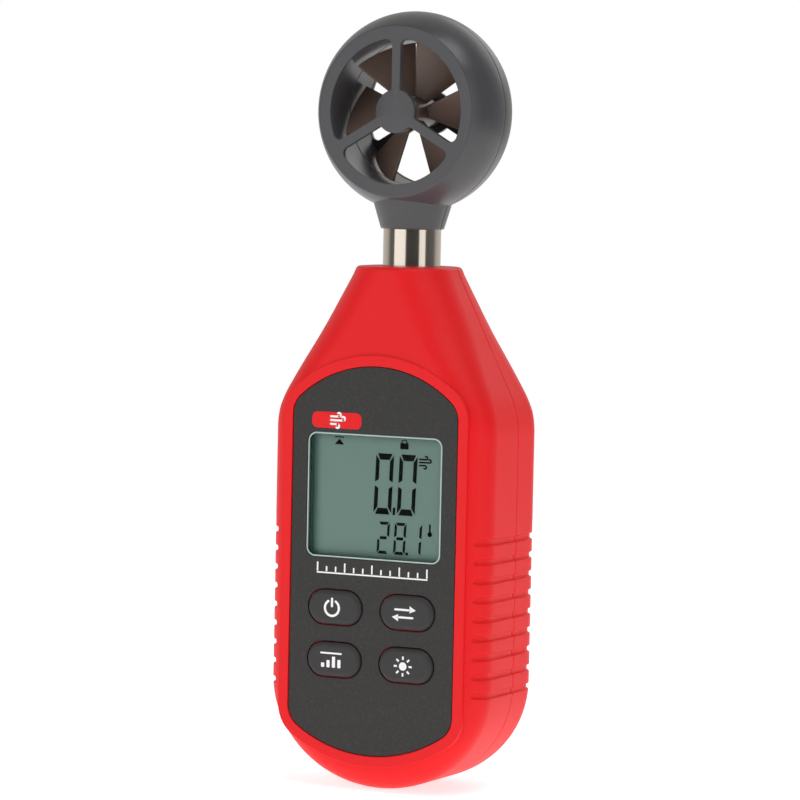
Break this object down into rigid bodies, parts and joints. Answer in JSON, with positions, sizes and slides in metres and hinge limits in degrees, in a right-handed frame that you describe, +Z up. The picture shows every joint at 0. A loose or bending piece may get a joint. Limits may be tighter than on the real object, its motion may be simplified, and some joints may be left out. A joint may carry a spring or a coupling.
{
  "type": "handheld weather meter",
  "caption": "Slim handheld weather meter with a display, rubber keys and a round guarded vane wheel on a short neck tube, for reading wind speed and air temperature.",
  "frame": {"origin": "middle of the hand grip, on the axis of the neck tube", "axes": "+Z up along the case towards the vane head, -Y out of the display, +X to the right seen from the display side"},
  "size_m": [0.05, 0.0288, 0.16],
  "materials": {
    "case_red": "satin",
    "head_grey": "satin",
    "panel_dark": "fine speckle",
    "clear_window": "clear acrylic",
    "display_glass": "reflective display",
    "inner_white": "moulded",
    "strip_rubber": "plain",
    "board_green": "solder mask",
    "chip_black": "moulded",
    "screw_steel": "plated",
    "key_rubber": "matt",
    "contact_metal": "nickel plated",
    "cell_sleeve": "plain sleeve",
    "neck_nickel": "polished nickel",
    "vane_brown": "thin, slightly see-through",
    "shaft_steel": "ground",
    "bearing_brass": "turned",
    "magnet_grey": "nickel plated",
    "sensor_bead": "resin bead",
    "cable_black": "plain"
  },
  "bodies": {
    "meter": {"front_shell": "case_red", "rear_shell": "case_red", "case_screws": "screw_steel", "face_panel": "panel_dark", "display_window": "clear_window", "display_glass": "display_glass", "display_frame": "inner_white", "backlight": "inner_white", "contact_strips": "strip_rubber", "main_board": "board_green", "processor": "chip_black", "board_parts": "chip_black", "board_screws": "screw_steel", "cable_socket": "inner_white", "key_mat": "key_rubber", "key_domes": "contact_metal", "battery_left": "cell_sleeve", "battery_middle": "cell_sleeve", "battery_right": "cell_sleeve", "battery_springs": "contact_metal", "battery_plates": "contact_metal", "neck_tube": "neck_nickel", "head_front": "head_grey", "head_rear": "head_grey", "front_bearing": "bearing_brass", "rear_bearing": "bearing_brass", "rotation_sensor": "chip_black", "sensor_board": "board_green", "temperature_sensor": "sensor_bead", "sensor_wires": "cable_black", "sensor_cable": "cable_black"},
    "vane": {"vane_wheel": "vane_brown", "vane_shaft": "shaft_steel", "vane_magnet": "magnet_grey"},
    "power_button": {"power_key": "key_rubber"},
    "unit_button": {"unit_key": "key_rubber"},
    "mode_button": {"mode_key": "key_rubber"},
    "hold_button": {"hold_key": "key_rubber"},
    "door": {"battery_door": "case_red", "door_screw": "screw_steel"}
  },
  "joints": [
    {"name": "vane_spin", "type": "hinge", "parent": "meter", "child": "vane", "pos_m": [0, 0, 0.1033], "axis": [0, 1, 0], "continuous": true},
    {"name": "power_press", "type": "slide", "parent": "meter", "child": "power_button", "axis": [0, 1, 0], "range_m": [0, 0.0007], "stiffness_N_per_m": 1500},
    {"name": "unit_press", "type": "slide", "parent": "meter", "child": "unit_button", "axis": [0, 1, 0], "range_m": [0, 0.0007], "stiffness_N_per_m": 1500},
    {"name": "mode_press", "type": "slide", "parent": "meter", "child": "mode_button", "axis": [0, 1, 0], "range_m": [0, 0.0007], "stiffness_N_per_m": 1500},
    {"name": "hold_press", "type": "slide", "parent": "meter", "child": "hold_button", "axis": [0, 1, 0], "range_m": [0, 0.0007], "stiffness_N_per_m": 1500},
    {"name": "door_lift", "type": "slide", "parent": "meter", "child": "door", "axis": [0, 1, 0], "range_m": [0, 0.018]}
  ]
}
